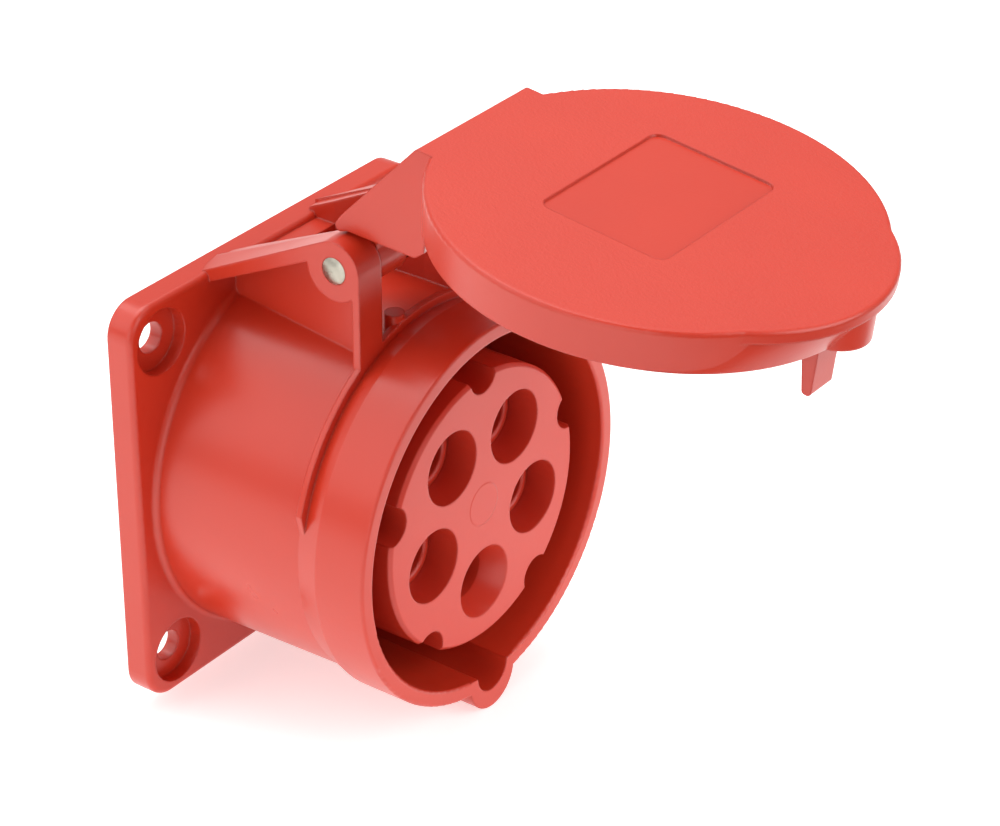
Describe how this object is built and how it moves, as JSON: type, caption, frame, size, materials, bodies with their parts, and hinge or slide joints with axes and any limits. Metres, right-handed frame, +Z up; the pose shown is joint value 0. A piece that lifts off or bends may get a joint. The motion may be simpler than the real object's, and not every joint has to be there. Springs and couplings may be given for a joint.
{
  "type": "industrial panel socket",
  "caption": "Round industrial panel socket with a square flange, a keyed shroud, recessed contacts and a sprung hinged lid.",
  "frame": {"origin": "centre of the flange's back face, which lies on the panel", "axes": "+Z up towards the lid's hinge, +Y into the panel, +X to the right seen from the front"},
  "size_m": [0.075, 0.1315, 0.1099],
  "materials": {
    "red_polyamide": "moulded polyamide, fine matt lid and glossier flange",
    "red_insert": "moulded polyamide, satin",
    "grey_insert": "moulded polyamide, satin",
    "black_rubber": "matt soft seal",
    "zinc_steel": "zinc plated",
    "spring_steel": "bright drawn wire and strip",
    "brass": "turned"
  },
  "bodies": {
    "socket": {"housing": "red_polyamide", "contact_cover": "red_insert", "contact_carrier": "red_insert", "terminal_carrier": "grey_insert", "carrier_screw": "zinc_steel", "retaining_ring": "grey_insert", "flange_gasket": "black_rubber", "hinge_pin": "zinc_steel", "lid_spring": "spring_steel", "contact_l1": "brass", "clip_l1": "spring_steel", "terminal_screw_l1": "zinc_steel", "contact_l2": "brass", "clip_l2": "spring_steel", "terminal_screw_l2": "zinc_steel", "contact_l3": "brass", "clip_l3": "spring_steel", "terminal_screw_l3": "zinc_steel", "contact_n": "brass", "clip_n": "spring_steel", "terminal_screw_n": "zinc_steel", "contact_earth": "brass", "clip_earth": "spring_steel", "terminal_screw_earth": "zinc_steel"},
    "lid": {"lid": "red_polyamide", "lid_gasket": "black_rubber"}
  },
  "joints": [
    {"name": "lid_hinge", "type": "hinge", "parent": "socket", "child": "lid", "pos_m": [0, -0.0315, 0.0461], "axis": [1, 0, 0], "range_deg": [-8.3, 82.7], "deforming": ["lid_spring"]}
  ]
}
